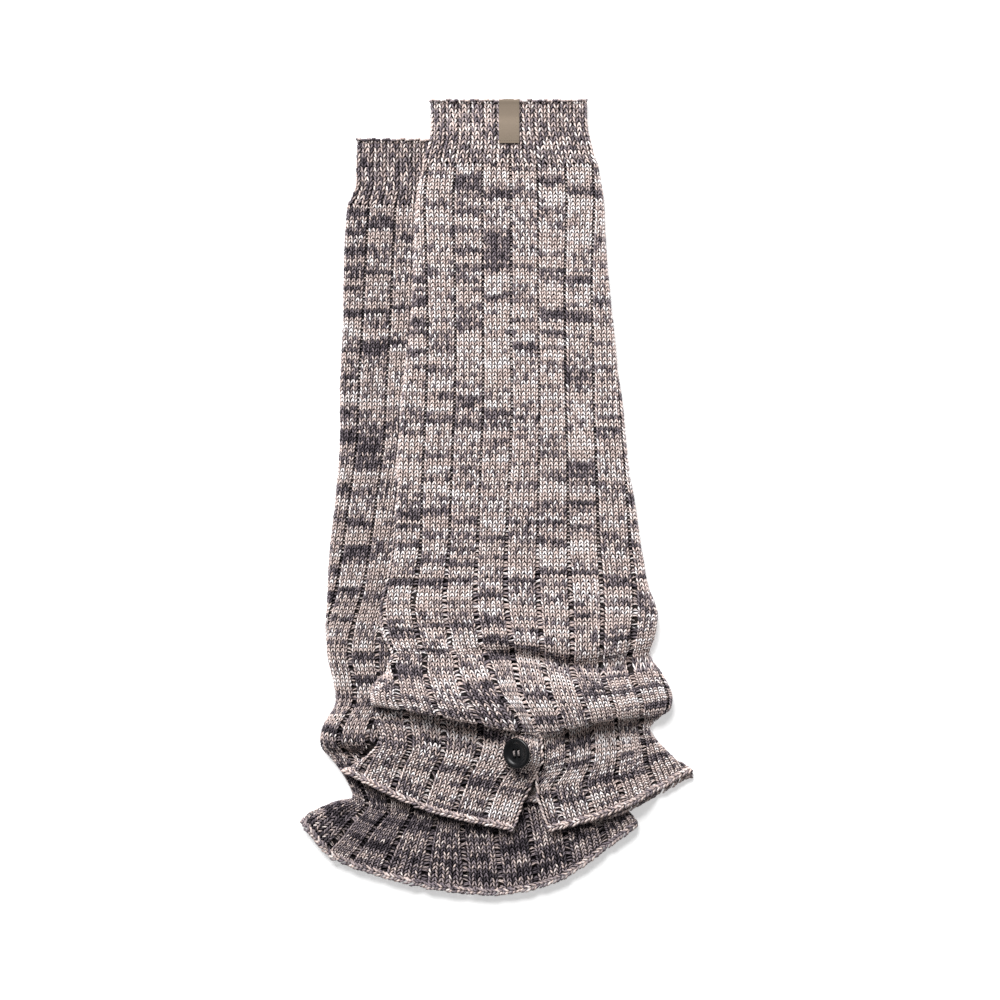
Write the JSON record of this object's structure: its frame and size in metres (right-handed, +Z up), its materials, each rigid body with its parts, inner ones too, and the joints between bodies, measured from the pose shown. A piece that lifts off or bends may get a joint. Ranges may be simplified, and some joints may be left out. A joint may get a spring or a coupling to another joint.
{
  "type": "pair of knitted leg warmers",
  "caption": "Rib-knit marl leg warmers lying flat, one on top of the other, slouched above a flared lower edge with a buttoned slit",
  "frame": {"origin": "middle of the pair's box, on the surface that it lies on", "axes": "+X across the legs to the right as seen from above, +Y along the legs from the flared edges to the cuffs, +Z up"},
  "size_m": [0.233, 0.476, 0.0282],
  "materials": {
    "yarn_upper": "soft marled wool-blend knit",
    "yarn_lower": "soft marled wool-blend knit",
    "button": "satin, horn look",
    "label": "close woven tape"
  },
  "bodies": {
    "root": {"over_cuff": "yarn_upper", "over_leg": "yarn_upper", "under_cuff": "yarn_lower", "under_leg": "yarn_lower", "button": "button", "label": "label"}
  },
  "joints": []
}
